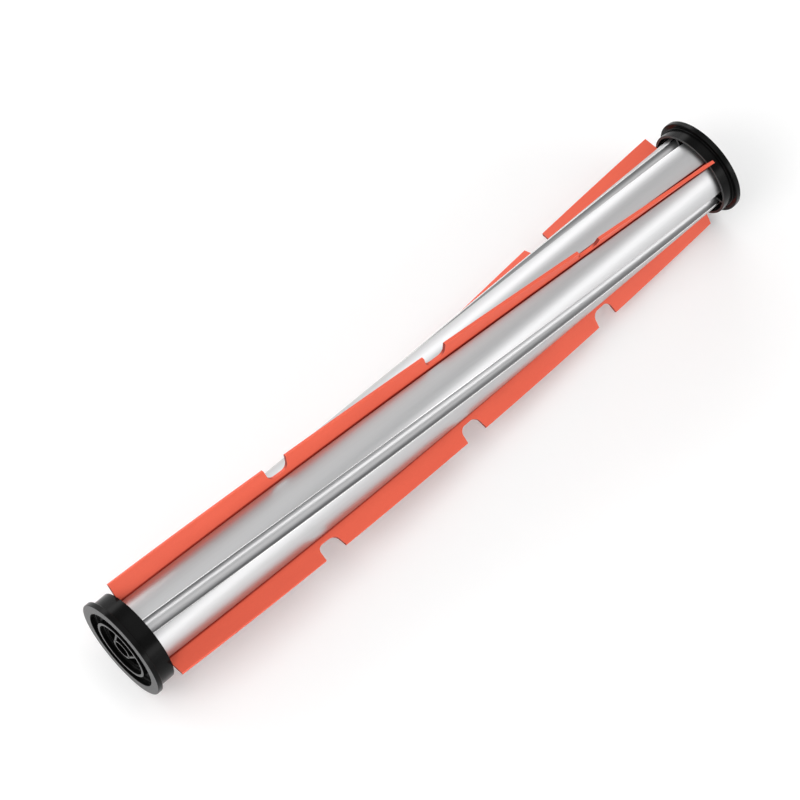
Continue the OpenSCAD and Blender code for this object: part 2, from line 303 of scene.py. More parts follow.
def roundedOutline(corners, steps=3):
    # corners are (x, y, radius); a radius of 0 keeps the corner sharp
    points = []
    count = len(corners)
    for k, (x, y, radius) in enumerate(corners):
        here = Vector((x, y))
        if radius == 0:
            points.append(here)
            continue
        before = Vector(corners[k - 1][:2])
        after = Vector(corners[(k + 1) % count][:2])
        finer = 1 if radius < outlineSettings["smallRadius"] else 2
        points += roundCorner(before, here, after, radius, finer * steps)
    return points


def arcBetween(radius, fromAngle, toAngle, step):
    count = max(1, round((toAngle - fromAngle) / step))
    return [
        (radius * math.cos(a), radius * math.sin(a), 0)
        for a in (fromAngle + (toAngle - fromAngle) * k / count for k in range(1, count))
    ]


def spun(corners, angle):
    c, s = math.cos(angle), math.sin(angle)
    return [(x * c - y * s, x * s + y * c, radius) for x, y, radius in corners]


def sectionMesh(name, outlines):
    # a flat filled section; outlines after the first are holes
    work = bmesh.new()
    edges = []
    for outline in outlines:
        verts = [work.verts.new((p[0], p[1], 0)) for p in outline]
        edges += [work.edges.new((verts[k - 1], verts[k])) for k in range(len(verts))]
    bmesh.ops.triangle_fill(work, edges=edges, use_beauty=True)
    return takeMesh(work, name)


# shader groups that several finishes share

def newShaderGroup(name, inputs, outputs):
    group = bpy.data.node_groups.new(name, "ShaderNodeTree")
    for label, kind, value in inputs:
        socket = group.interface.new_socket(label, in_out="INPUT", socket_type="NodeSocket" + kind)
        if value is not None:
            socket.default_value = value
    for label, kind in outputs:
        group.interface.new_socket(label, in_out="OUTPUT", socket_type="NodeSocket" + kind)
    return group, addNode(group, "NodeGroupInput"), addNode(group, "NodeGroupOutput")


def makeUntwistGroup():
    # object coordinates with the roller's helix taken out, so a pattern follows the extrusion
    group, entry, leave = newShaderGroup(
        "untwistedCoordinates",
        [("Turn Rate", "Float", roller["rate"])],
        [("Vector", "Vector")],
    )
    place = addNode(group, "ShaderNodeTexCoord")
    along = splitVector(group, place.outputs["Object"])["X"]
    angle = doSum(group, "MULTIPLY", along, entry.outputs["Turn Rate"])
    back = addNode(group, "ShaderNodeVectorRotate", rotation_type="X_AXIS", invert=True)
    back.inputs["Center"].default_value = (0, 0, axisZ)
    join(group, place.outputs["Object"], back.inputs["Vector"])
    join(group, angle, back.inputs["Angle"])
    join(group, back.outputs["Vector"], leave.inputs["Vector"])
    return group


grainSettings = {
    "coarse": {"Detail": 3.0, "Roughness": 0.55},
    "fine": {"Detail": 2.0, "Roughness": 0.6},
    "spread": (0.3, 0.7),            # heights that the mask's 0 and 1 stand for
}


def makeGrainGroup():
    # two sizes of noise over any coordinates, as a mask for colour and a height for relief
    group, entry, leave = newShaderGroup(
        "mottleAndGrain",
        [
            ("Vector", "Vector", None),
            ("Stretch", "Vector", (1, 1, 1)),
            ("Coarse", "Float", 200.0),
            ("Fine", "Float", 4000.0),
            ("Fine Share", "Float", 0.5),
        ],
        [("Mask", "Float"), ("Height", "Float")],
    )
    stretch = addNode(group, "ShaderNodeVectorMath", operation="MULTIPLY")
    join(group, entry.outputs["Vector"], stretch.inputs[0])
    join(group, entry.outputs["Stretch"], stretch.inputs[1])
    coarse = addNode(group, "ShaderNodeTexNoise", grainSettings["coarse"])
    fine = addNode(group, "ShaderNodeTexNoise", grainSettings["fine"])
    for noise, label in ((coarse, "Coarse"), (fine, "Fine")):
        join(group, stretch.outputs[0], noise.inputs["Vector"])
        join(group, entry.outputs[label], noise.inputs["Scale"])
    blend = mixTwo(group, "FLOAT", entry.outputs["Fine Share"], coarse.outputs[0], fine.outputs[0])
    low, high = grainSettings["spread"]
    spread = addNode(group, "ShaderNodeMapRange", {"From Min": low, "From Max": high})
    join(group, blend, spread.inputs["Value"])
    join(group, spread.outputs["Result"], leave.inputs["Mask"])
    join(group, blend, leave.inputs["Height"])
    return group


skinShadeAndGlint = {
    "skin": 15.45 * mm,              # radius of the extrusion
    "walls": (1.8 * mm, 2.6 * mm),   # where painted shade darkens the walls, from a channel's middle line
    "lips": (2.76 * mm, 3.14 * mm),  # the lips, painted lighter as a glint and made smoother, from the same line
    "lipHeight": 0.35 * mm,          # how far the lips reach below the skin
    "root": (0.12 * mm, 0.50 * mm),  # where the painted shade at a blade's root fades out, above the skin
}


def makeShadeAndGlintGroup():
    # masks for painted light: shade on the upper walls of the round channels, a glint on their
    # lips and shade at the blades' roots
    group, entry, leave = newShaderGroup(
        "skinShadeAndGlint",
        [("Vector", "Vector", None)],
        [("Wall Shade", "Float"), ("Lips", "Float"), ("Root Shade", "Float")],
    )
    paintedLight = skinShadeAndGlint
    place = splitVector(group, entry.outputs["Vector"])
    y = place["Y"]
    z = doSum(group, "SUBTRACT", place["Z"], axisZ)
    firstBlade = roller["lie"] - roller["rate"] * driveX
    fromBlade = doSum(group, "SUBTRACT", doSum(group, "ARCTAN2", z, y), firstBlade)
    folded = addNode(group, "ShaderNodeMath", operation="WRAP")
    join(group, fromBlade, folded.inputs[0])
    folded.inputs[1].default_value = roller["bladeStep"]
    folded.inputs[2].default_value = 0
    fromChannel = doSum(group, "SUBTRACT", folded.outputs[0], roller["bladeStep"] / 2)
    squares = doSum(group, "ADD", doSum(group, "MULTIPLY", y, y), doSum(group, "MULTIPLY", z, z))
    reach = doSum(group, "SQRT", squares)
    sideways = doSum(group, "MULTIPLY", reach, doSum(group, "SINE", fromChannel))
    aside = doSum(group, "ABSOLUTE", sideways)
    beforeLip = doSum(group, "LESS_THAN", aside, paintedLight["lips"][1])
    atSkin = doSum(group, "GREATER_THAN", reach, paintedLight["skin"] - paintedLight["lipHeight"])
    wallShade = softStep(group, aside, paintedLight["walls"], 0, 1)
    walls = doSum(group, "MULTIPLY", wallShade, beforeLip)
    pastWall = doSum(group, "GREATER_THAN", aside, paintedLight["lips"][0])
    lips = doSum(group, "MULTIPLY", doSum(group, "MULTIPLY", pastWall, beforeLip), atSkin)
    join(group, doSum(group, "SUBTRACT", walls, lips), leave.inputs["Wall Shade"])
    join(group, lips, leave.inputs["Lips"])
    above = doSum(group, "SUBTRACT", reach, paintedLight["skin"])
    join(group, softStep(group, above, paintedLight["root"], 1, 0), leave.inputs["Root Shade"])
    return group


untwistGroup = makeUntwistGroup()
grainGroup = makeGrainGroup()
shadeAndGlintGroup = makeShadeAndGlintGroup()


# finishes

usualShader = {
    "Metallic": 0.0, "IOR": 1.5, "Specular IOR Level": 0.5,
    "Sheen Weight": 0.0, "Sheen Roughness": 0.5,
}

finishLooks = {
    # Stretch, Coarse, Fine and Fine Share go to the grain; Wall Shade, Lips and Root Shade are
    # painted shade and glint on the skin
    "drawnAluminium": {
        "Metallic": 1.0, "helix": True,
        "dark": (0.53, 0.53, 0.535), "light": (0.56, 0.56, 0.565),
        "roughness": (0.40, 0.43), "relief": 0.01, "depth": 0.01 * mm,
        "Stretch": (0.01, 1.0, 1.0), "Coarse": 700.0, "Fine": 2500.0, "Fine Share": 0.45,
        # painted shade darkens the channel walls; the lips are painted lighter as a glint and made
        # smoother
        "paintedLight": {"Wall Shade": (0.31, 0.31, 0.315), "Lips": (0.68, 0.68, 0.68)}, "lipRoughness": 0.16,
    },
    "orangeRubber": {
        "Specular IOR Level": 0.35, "helix": True,
        "dark": (0.76, 0.104, 0.055), "light": (0.84, 0.124, 0.066),
        "roughness": (0.48, 0.60), "relief": 0.12, "depth": 0.04 * mm,
        "Stretch": (0.35, 1.0, 1.0), "Coarse": 90.0, "Fine": 2600.0, "Fine Share": 0.35,
        # painted shade darkens the blades' roots beside the slots and the faces that lie across
        # the roller
        "paintedLight": {"Root Shade": (0.42, 0.038, 0.021)}, "acrossShadeColour": (0.26, 0.030, 0.018),
    },
    "blackPlastic": {
        "Specular IOR Level": 0.085,
        "dark": (0.002, 0.002, 0.002), "light": (0.0035, 0.0035, 0.0035),
        "roughness": (0.16, 0.22), "relief": 0.04, "depth": 0.02 * mm,
        "Coarse": 160.0, "Fine": 3200.0, "Fine Share": 0.6,
        # the outer faces are painted lighter as a sheen, the sleeve ends as a glint line
        "faceSheenColour": (0.028, 0.028, 0.028),
        "faceBand": 0.55 * mm,       # depth of the outer faces, with the hub's end in it
        "rimGlintColour": (0.05, 0.05, 0.05),
        "rimBand": 0.13 * mm,        # to each side of a sleeve's end
    },
    "groundSteel": {
        "Metallic": 1.0,
        "dark": (0.50, 0.51, 0.53), "light": (0.66, 0.67, 0.69),
        "roughness": (0.20, 0.30), "relief": 0.04, "depth": 0.02 * mm,
        "Stretch": (1.0, 0.1, 0.1), "Coarse": 2500.0, "Fine": 9000.0,
    },
    "polishedSteel": {
        "Metallic": 1.0,
        "dark": (0.70, 0.71, 0.73), "light": (0.78, 0.79, 0.81),
        "roughness": (0.06, 0.10), "relief": 0.02, "depth": 0.01 * mm,
        "Coarse": 600.0, "Fine": 5000.0,
    },
    "pressedSteel": {
        "Metallic": 1.0,
        "dark": (0.44, 0.45, 0.47), "light": (0.60, 0.61, 0.63),
        "roughness": (0.26, 0.38), "relief": 0.06, "depth": 0.02 * mm,
        "Coarse": 400.0, "Fine": 6000.0,
    },
    "turnedSteel": {
        "Metallic": 1.0,
        "dark": (0.48, 0.48, 0.49), "light": (0.64, 0.64, 0.65),
        "roughness": (0.24, 0.36), "relief": 0.08, "depth": 0.02 * mm,
        "Stretch": (1.0, 0.05, 0.05), "Coarse": 3000.0, "Fine": 8000.0,
    },
    "platedSteel": {
        "Metallic": 1.0,
        "dark": (0.58, 0.58, 0.60), "light": (0.70, 0.70, 0.71),
        "roughness": (0.22, 0.34), "relief": 0.05, "depth": 0.02 * mm,
        "Coarse": 500.0, "Fine": 5000.0,
    },
    "blackenedSteel": {
        "Metallic": 0.9,
        "dark": (0.035, 0.035, 0.040), "light": (0.065, 0.065, 0.070),
        "roughness": (0.34, 0.46), "relief": 0.06, "depth": 0.02 * mm,
        "Coarse": 500.0, "Fine": 5000.0,
    },
    "mouldedNylon": {
        "dark": (0.60, 0.53, 0.38), "light": (0.74, 0.67, 0.50),
        "roughness": (0.40, 0.52), "relief": 0.06, "depth": 0.02 * mm,
        "Coarse": 500.0, "Fine": 5000.0,
    },
    "pressedFelt": {
        "Sheen Weight": 0.4, "Specular IOR Level": 0.2,
        "dark": (0.17, 0.18, 0.17), "light": (0.36, 0.37, 0.36),
        "roughness": (0.85, 0.98), "relief": 0.9, "depth": 0.12 * mm,
        "Coarse": 900.0, "Fine": 5200.0, "Fine Share": 0.55,
    },
}


def toneOver(tree, mask, colour, tone):
    return mixTwo(tree, "RGBA", mask, colour, (*tone, 1))


def toneCap(tree, coordinates, across, colour, look):
    # outer faces get a painted sheen and sleeve ends a painted glint line, lighter than the skin
    # of the caps
    along = splitVector(tree, coordinates)["X"]
    halfLength = roller["length"] / 2
    fromMiddle = distance(tree, along, driveX + halfLength)
    outside = doSum(tree, "GREATER_THAN", fromMiddle, halfLength - look["faceBand"])
    colour = toneOver(tree, doSum(tree, "MULTIPLY", outside, across), colour, look["faceSheenColour"])
    # a painted glint line at each sleeve's end
    for mouth in ("driveMouth", "idlerMouth"):
        fromMouth = distance(tree, along, driveX + roller[mouth])
        onRim = doSum(tree, "LESS_THAN", fromMouth, look["rimBand"])
        colour = toneOver(tree, onRim, colour, look["rimGlintColour"])
    return colour


def makeFinish(name, look):
    # one procedural finish: grain drives colour, roughness and relief
    material = bpy.data.materials.new(name)
    material.use_nodes = True
    tree = material.node_tree
    shader = tree.nodes["Principled BSDF"]
    for label, usual in usualShader.items():
        shader.inputs[label].default_value = look.get(label, usual)
    grain = addNode(tree, "ShaderNodeGroup", node_tree=grainGroup)
    for label in ("Stretch", "Coarse", "Fine", "Fine Share"):
        if label in look:
            grain.inputs[label].default_value = look[label]
    if look.get("helix"):
        coordinates = addNode(tree, "ShaderNodeGroup", node_tree=untwistGroup).outputs["Vector"]
        paintedLight = addNode(tree, "ShaderNodeGroup", node_tree=shadeAndGlintGroup)
        join(tree, coordinates, paintedLight.inputs["Vector"])
    else:
        coordinates = addNode(tree, "ShaderNodeTexCoord").outputs["Object"]
    join(tree, coordinates, grain.inputs["Vector"])
    mask = grain.outputs["Mask"]
    colour = mixTwo(tree, "RGBA", mask, (*look["dark"], 1), (*look["light"], 1))
    roughness = mixedValue(tree, mask, *look["roughness"])
    # painted shade and glint from the skin masks go over the grain's colour
    for label, tone in look.get("paintedLight", {}).items():
        colour = toneOver(tree, paintedLight.outputs[label], colour, tone)
    if "acrossShadeColour" in look or "faceSheenColour" in look:
        across = addNode(tree, "ShaderNodeAttribute", attribute_name="faceAcross").outputs["Fac"]
    # faces across the roller are painted darker as shade
    if "acrossShadeColour" in look:
        colour = toneOver(tree, across, colour, look["acrossShadeColour"])
    # painted sheen on the caps' outer faces and a painted glint at the sleeve ends
    if "faceSheenColour" in look:
        colour = toneCap(tree, coordinates, across, colour, look)
    if "lipRoughness" in look:
        roughness = mixTwo(tree, "FLOAT", paintedLight.outputs["Lips"], roughness, look["lipRoughness"])
    join(tree, colour, shader.inputs["Base Color"])
    join(tree, roughness, shader.inputs["Roughness"])
    bump = addNode(tree, "ShaderNodeBump", {"Strength": look["relief"], "Distance": look["depth"]})
    join(tree, grain.outputs["Height"], bump.inputs["Height"])
    join(tree, bump.outputs["Normal"], shader.inputs["Normal"])
    return material


finishes = {name: makeFinish(name, look) for name, look in finishLooks.items()}
print("finishes", len(finishes))


# tree that sweeps a section along the roller and twists it, with notches cut in

def makeTwistTree():
    tree, entry, leave = newGeometryTree("twistedSweep", [
        ("Start", "Float"), ("End", "Float"), ("Rate", "Float"), ("Lie", "Float"),
        ("Steps", "Int"), ("Drive Face", "Float"), ("Axis Height", "Float"),
        ("Notch Shape", "Object"), ("Notches", "Int"), ("First Notch", "Float"),
        ("Notch Pitch", "Float"), ("Material", "Material"),
    ])
    values = entry.outputs
    wholeFirst, wholeSecond = 2, 3   # a Compare node's inputs for whole numbers

    def place(station):
        # a point on the axis at a station from the drive face
        spot = addNode(tree, "ShaderNodeCombineXYZ")
        join(tree, doSum(tree, "ADD", station, values["Drive Face"]), spot.inputs["X"])
        join(tree, values["Axis Height"], spot.inputs["Z"])
        return spot.outputs[0]

    def angleAt(station):
        turn = doSum(tree, "MULTIPLY", station, values["Rate"])
        return doSum(tree, "ADD", turn, values["Lie"])

    def spin(angle):
        euler = addNode(tree, "ShaderNodeCombineXYZ")
        join(tree, angle, euler.inputs["X"])
        toRotation = addNode(tree, "FunctionNodeEulerToRotation")
        join(tree, euler.outputs[0], toRotation.inputs[0])
        return toRotation.outputs[0]

    # the walls: the section's border swept along a line whose tilt follows the helix
    line = addNode(tree, "GeometryNodeCurvePrimitiveLine")
    join(tree, place(values["Start"]), line.inputs["Start"])
    join(tree, place(values["End"]), line.inputs["End"])
    steps = addNode(tree, "GeometryNodeResampleCurve")
    join(tree, line.outputs[0], steps.inputs["Curve"])
    join(tree, values["Steps"], steps.inputs["Count"])
    upright = addNode(tree, "GeometryNodeSetCurveNormal", mode="Z_UP")
    join(tree, steps.outputs[0], upright.inputs["Curve"])
    position = addNode(tree, "GeometryNodeInputPosition")
    along = splitVector(tree, position.outputs[0])["X"]
    station = doSum(tree, "SUBTRACT", along, values["Drive Face"])
    tilt = addNode(tree, "GeometryNodeSetCurveTilt")
    join(tree, upright.outputs[0], tilt.inputs["Curve"])
    join(tree, doSum(tree, "ADD", angleAt(station), math.pi), tilt.inputs["Tilt"])
    neighbours = addNode(tree, "GeometryNodeInputMeshEdgeNeighbors")
    onBorder = addNode(tree, "FunctionNodeCompare", data_type="INT", operation="EQUAL")
    join(tree, neighbours.outputs[0], onBorder.inputs[wholeFirst])
    onBorder.inputs[wholeSecond].default_value = 1
    border = addNode(tree, "GeometryNodeMeshToCurve")
    join(tree, values["Geometry"], border.inputs["Mesh"])
    join(tree, onBorder.outputs[0], border.inputs["Selection"])
    walls = addNode(tree, "GeometryNodeCurveToMesh")
    join(tree, tilt.outputs[0], walls.inputs["Curve"])
    join(tree, border.outputs[0], walls.inputs["Profile Curve"])
    together = addNode(tree, "GeometryNodeJoinGeometry")
    join(tree, walls.outputs[0], together.inputs[0])

    # the two end faces
    stand = addNode(tree, "GeometryNodeTransform", {"Rotation": (math.pi / 2, 0, math.pi / 2)})
    join(tree, values["Geometry"], stand.inputs["Geometry"])
    for label in ("Start", "End"):
        face = addNode(tree, "GeometryNodeTransform")
        join(tree, stand.outputs[0], face.inputs["Geometry"])
        join(tree, place(values[label]), face.inputs["Translation"])
        join(tree, spin(angleAt(values[label])), face.inputs["Rotation"])
        join(tree, face.outputs[0], together.inputs[0])
    closed = addNode(tree, "GeometryNodeMergeByDistance", {"Distance": weldGap})
    join(tree, together.outputs[0], closed.inputs[0])

    # notches: one cutter repeated along the helix
    row = addNode(tree, "GeometryNodeMeshLine")
    join(tree, values["Notches"], row.inputs["Count"])
    join(tree, place(values["First Notch"]), row.inputs["Start Location"])
    pitch = addNode(tree, "ShaderNodeCombineXYZ")
    join(tree, values["Notch Pitch"], pitch.inputs["X"])
    join(tree, pitch.outputs[0], row.inputs["Offset"])
    cutter = addNode(tree, "GeometryNodeObjectInfo")
    join(tree, values["Notch Shape"], cutter.inputs["Object"])
    cutters = addNode(tree, "GeometryNodeInstanceOnPoints")
    join(tree, row.outputs[0], cutters.inputs["Points"])
    join(tree, cutter.outputs["Geometry"], cutters.inputs["Instance"])
    join(tree, spin(angleAt(station)), cutters.inputs["Rotation"])
    cut = addNode(tree, "GeometryNodeMeshBoolean", operation="DIFFERENCE", solver="EXACT")
    join(tree, closed.outputs[0], cut.inputs["Mesh 1"])
    join(tree, cutters.outputs[0], cut.inputs["Mesh 2"])
    hasNotches = addNode(tree, "FunctionNodeCompare", data_type="INT", operation="GREATER_THAN")
    join(tree, values["Notches"], hasNotches.inputs[wholeFirst])
    choose = addNode(tree, "GeometryNodeSwitch", input_type="GEOMETRY")
    join(tree, hasNotches.outputs[0], choose.inputs["Switch"])
    join(tree, closed.outputs[0], choose.inputs["False"])
    join(tree, cut.outputs[0], choose.inputs["True"])
    endTree(tree, choose.outputs[0], values["Material"], leave)
    return tree


twistTree = makeTwistTree()


def twistAlong(name, section, start, end, steps, material, notches=None):
    values = {
        "Start": start, "End": end, "Rate": roller["rate"], "Lie": roller["lie"],
        "Steps": steps, "Drive Face": driveX, "Axis Height": axisZ, "Material": material,
    }
    if notches:
        values.update(notches)
    return runTree(looseObject(name, section), twistTree, values)


# core: the twisted extrusion with its slots and round channels

coreSizes = {
    "radius": 15.45 * mm,
    "wall": 1.4 * mm,
    "land": 9.8 * mm,            # radius of the inner lands, where the caps' spigots fit
    "slotMouth": 2.3 * mm,
    "slotRoom": 4.8 * mm,
    "slotLip": 1.3 * mm,
    "slotDepth": 4.0 * mm,
    "channel": 2.85 * mm,        # radius of a round channel
    "channelDepth": 2.9 * mm,
    "channelStep": math.radians(5),
    "lipRadius": 0.18 * mm,
    "innerLip": 0.06 * mm,       # the same under the slot's mouth
    "channelLip": 0.42 * mm,
    "panelStep": math.radians(2.2),
    "hollowCorner": 0.4 * mm,
    "hollowStep": math.radians(6),
    "steps": 140,
}


def roundChannel(radius, inside, edge):
    # half outline of a round channel, from the skin at that radius to the channel's middle,
    # and the angle from the middle to its edge
    core = coreSizes
    centre = core["radius"] - core["channelDepth"] + core["channel"]
    reach = (centre * centre + radius * radius - inside * inside) / (2 * centre)
    side = math.sqrt(radius * radius - reach * reach)
    start = math.atan2(side, reach - centre)
    first = start + 2 * core["channelStep"]
    count = round((math.pi - first) / core["channelStep"])
    angles = [first + (math.pi - first) * k / count for k in range(count)]
    arc = [(centre + inside * math.cos(a), inside * math.sin(a), 0) for a in angles]
    return [(reach, side, edge)] + arc, math.asin(side / radius)


def mirrored(side):
    # a whole outline from the half of it on the +Y side
    return [(x, -y, radius) for x, y, radius in side] + side[::-1]


def aroundCore(radius, slotSide, slotAngle, channelSide, channelAngle, panelStep):
    # slots and channels by turns, with panels of skin between them
    step = roller["bladeStep"]
    corners = []
    for k in range(roller["blades"]):
        here, middle, after = k * step, (k + 0.5) * step, (k + 1) * step
        corners += spun(mirrored(slotSide), here)
        corners += arcBetween(radius, here + slotAngle, middle - channelAngle, panelStep)
        corners += spun(mirrored(channelSide), middle)
        corners += arcBetween(radius, middle + channelAngle, after - slotAngle, panelStep)
    return roundedOutline(corners)


def coreOutline():
    core = coreSizes
    radius, lip = core["radius"], core["lipRadius"]
    mouth, room = core["slotMouth"] / 2, core["slotRoom"] / 2
    slotTop, slotFloor = radius - core["slotLip"], radius - core["slotDepth"]
    slotSide = [
        (math.sqrt(radius * radius - mouth * mouth), mouth, lip),
        (slotTop, mouth, core["innerLip"]),
        (slotTop, room, lip),
        (slotFloor, room, lip),
    ]
    channelSide, channelAngle = roundChannel(radius, core["channel"], core["channelLip"])
    slotAngle = math.asin(mouth / radius)
    return aroundCore(radius, slotSide, slotAngle, channelSide, channelAngle, core["panelStep"])


def coreHollow():
    core = coreSizes
    radius, soft = core["radius"] - core["wall"], core["hollowCorner"]
    half = core["slotRoom"] / 2 + core["wall"]
    slotSide = [(math.sqrt(radius * radius - half * half), half, soft), (core["land"], half, soft)]
    channelSide, channelAngle = roundChannel(radius, core["channel"] + core["wall"], soft)
    slotAngle = math.asin(half / radius)
    return aroundCore(radius, slotSide, slotAngle, channelSide, channelAngle, core["hollowStep"])


def makeCore():
    metal = finishes["drawnAluminium"]
    section = sectionMesh("coreSection", [coreOutline(), coreHollow()])
    start, end = roller["coreStart"], roller["coreEnd"]
    body = twistAlong("coreBody", section, start, end, coreSizes["steps"], metal)
    piece = finishPiece("coreExtrusion", [body], metal)
    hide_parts("core")
    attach(piece, "roller")


makeCore()


# blades: flexible strips with a foot in the slot and notches in the edge

bladeSizes = {
    "tip": 23.3 * mm,
    "thickness": 1.25 * mm,
    "footHeight": 2.3 * mm,
    "footWidth": 4.6 * mm,
    "fit": 0.1 * mm,
    "edgeRadius": 0.16 * mm,
    "notchMouth": 9.7 * mm,
    "notchFloor": 8.2 * mm,
    "notchDepth": 5.8 * mm,
    "notchCorner": 3.0 * mm,
    "cutterRise": 1.0 * mm,      # how far the notch's cutter stands out past the tip
    "cutterSteps": 10,
    "firstNotch": 81.3 * mm,
    "notchPitch": 71.65 * mm,
    "notches": 3,
    "steps": 160,
    "endSteps": 3,
    "sharp": 40,
    "acrossShadeSlope": (0.35, 0.9),     # X of the normal between which a face grows dark with painted shade
}


def notchCutter():
    # lies with its length along X and its depth along Y
    blade = bladeSizes
    floor, top = blade["tip"] - blade["notchDepth"], blade["tip"] + blade["cutterRise"]
    halfFloor, halfMouth = blade["notchFloor"] / 2, blade["notchMouth"] / 2
    outline = roundedOutline([
        (-halfFloor, floor, blade["notchCorner"]),
        (halfFloor, floor, blade["notchCorner"]),
        (halfMouth, blade["tip"], 0),
        (halfMouth, top, 0),
        (-halfMouth, top, 0),
        (-halfMouth, blade["tip"], 0),
    ], steps=blade["cutterSteps"])
    work = bmesh.new()
    deep = 2 * blade["thickness"]
    low = [work.verts.new((p[0], p[1], -deep)) for p in outline]
    high = [work.verts.new((p[0], p[1], deep)) for p in outline]
    work.faces.new(low[::-1])
    work.faces.new(high)
    for k in range(len(low)):
        work.faces.new((low[k - 1], low[k], high[k], high[k - 1]))
    bmesh.ops.recalc_face_normals(work, faces=work.faces)
    return looseObject("notchCutter", takeMesh(work, "notchCutter"))


def bladeSection(corners, angle):
    outline = [(p[0], p[1], 0) for p in roundedOutline(corners)]
    return sectionMesh("bladeSection", [spun(outline, angle)])


def makeBlades():
    blade = bladeSizes
    rubber = finishes["orangeRubber"]
    skin = coreSizes["radius"]
    half, wide, edge = blade["thickness"] / 2, blade["footWidth"] / 2, blade["edgeRadius"]
    foot = skin - coreSizes["slotDepth"] + blade["fit"]
    footTop = foot + blade["footHeight"]
    neckTop = skin - blade["fit"]
    rise = [(foot, -wide, edge), (foot, wide, edge), (footTop, wide, edge), (footTop, half, edge)]
    fall = [(footTop, -half, edge), (footTop, -wide, edge)]
    fin = rise + [(blade["tip"], half, edge), (blade["tip"], -half, edge)] + fall
    neck = rise + [(neckTop, half, 0), (neckTop, -half, 0)] + fall
    cutter = notchCutter()
    notches = {
        "Notch Shape": cutter, "Notches": blade["notches"],
        "First Notch": blade["firstNotch"], "Notch Pitch": blade["notchPitch"],
    }
    coreStart, coreEnd, few = roller["coreStart"], roller["coreEnd"], blade["endSteps"]
    finStart = roller["driveMouth"] + blade["fit"]
    finEnd = roller["idlerMouth"] - blade["fit"]
    for k, letter in enumerate("abc"):
        angle = k * roller["bladeStep"]
        # the section is turned to its own slot, so the cutter's mesh is turned with it
        cutter.data.transform(Matrix.Rotation(angle, 4, "X"))
        parts = [
            twistAlong("bladeFin", bladeSection(fin, angle), finStart, finEnd,
                       blade["steps"], rubber, notches),
            twistAlong("bladeFoot", bladeSection(neck, angle), coreStart, finStart, few, rubber),
            twistAlong("bladeFoot", bladeSection(neck, angle), finEnd, coreEnd, few, rubber),
        ]
        cutter.data.transform(Matrix.Rotation(-angle, 4, "X"))
        name = "bladeStrip." + letter
        piece = finishPiece(name, parts, rubber, blade["sharp"], blade["acrossShadeSlope"])
        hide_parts("blade_" + letter)
        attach(piece, "roller")
    bpy.data.objects.remove(cutter)


makeBlades()


# tree that turns a half section round the roller's axis, with rounded corners

def makeTurnTree():
    tree, entry, leave = newGeometryTree("turnedPart", [
        ("Sides", "Int"), ("Corner Steps", "Int"), ("Drive Face", "Float"),
        ("Axis Height", "Float"), ("Material", "Material"),
    ])
    values = entry.outputs
    centre = 10 * mm             # radius of the guiding circle, which the section is moved back by
    outline = addNode(tree, "GeometryNodeMeshToCurve")
    join(tree, values["Geometry"], outline.inputs["Mesh"])
    radius = addNode(tree, "GeometryNodeInputNamedAttribute", data_type="FLOAT")
    radius.inputs["Name"].default_value = "cornerRadius"
    rounded = addNode(tree, "GeometryNodeFilletCurve", {"Limit Radius": True}, mode="POLY")
    join(tree, outline.outputs[0], rounded.inputs["Curve"])
    join(tree, values["Corner Steps"], rounded.inputs["Count"])
    join(tree, radius.outputs[0], rounded.inputs["Radius"])
    shifted = addNode(tree, "GeometryNodeTransform", {
        "Translation": (-centre, 0, 0), "Scale": (1, -1, 1),
    })
    join(tree, rounded.outputs[0], shifted.inputs["Geometry"])
    circle = addNode(tree, "GeometryNodeCurvePrimitiveCircle", {"Radius": centre})
    join(tree, values["Sides"], circle.inputs["Resolution"])
    upright = addNode(tree, "GeometryNodeSetCurveNormal", mode="Z_UP")
    join(tree, circle.outputs[0], upright.inputs["Curve"])
    sweep = addNode(tree, "GeometryNodeCurveToMesh")
    join(tree, upright.outputs[0], sweep.inputs["Curve"])
    join(tree, shifted.outputs[0], sweep.inputs["Profile Curve"])
    closed = addNode(tree, "GeometryNodeMergeByDistance", {"Distance": weldGap})
    join(tree, sweep.outputs[0], closed.inputs[0])
    spot = addNode(tree, "ShaderNodeCombineXYZ")
    join(tree, values["Drive Face"], spot.inputs["X"])
    join(tree, values["Axis Height"], spot.inputs["Z"])
    lay = addNode(tree, "GeometryNodeTransform", {"Rotation": (math.pi / 2, 0, math.pi / 2)})
    join(tree, closed.outputs[0], lay.inputs["Geometry"])
    join(tree, spot.outputs[0], lay.inputs["Translation"])
    endTree(tree, lay.outputs[0], values["Material"], leave)
    return tree


turnTree = makeTurnTree()


def turnPart(name, corners, material, sides, cornerSteps=3, closed=True):
    # corners are (radius, station, corner radius) in millimetres, station from the drive face
    mesh = bpy.data.meshes.new(name)
    count = len(corners)
    edges = [(k, (k + 1) % count) for k in range(count if closed else count - 1)]
    mesh.from_pydata([(r * mm, s * mm, 0) for r, s, c in corners], edges, [])
    radii = mesh.attributes.new("cornerRadius", "FLOAT", "POINT")
    for k, corner in enumerate(corners):
        radii.data[k].value = corner[2] * mm
    return runTree(looseObject(name, mesh), turnTree, {
        "Sides": sides, "Corner Steps": cornerSteps,
        "Drive Face": driveX, "Axis Height": axisZ, "Material": material,
    })


def barMesh(name, stations, reach, across, angle, bevel=0.08 * mm, bevelSteps=2):
    # a bar with soft edges; its ranges are in millimetres, and it is turned about the axis
    work = bmesh.new()
    bmesh.ops.create_cube(work, size=1)
    for vert in work.verts:
        x, y, z = (span[0 if place < 0 else 1] * mm
                   for span, place in zip((stations, reach, across), vert.co))
        vert.co = (driveX + x, y, z)
    bmesh.ops.bevel(work, geom=work.edges, offset=bevel, segments=bevelSteps, affect="EDGES")
    work.transform(Matrix.Translation((0, 0, axisZ)) @ Matrix.Rotation(angle, 4, "X"))
    return takeMesh(work, name)


# what both caps share: ribs that key into the core's round channels, and the finish

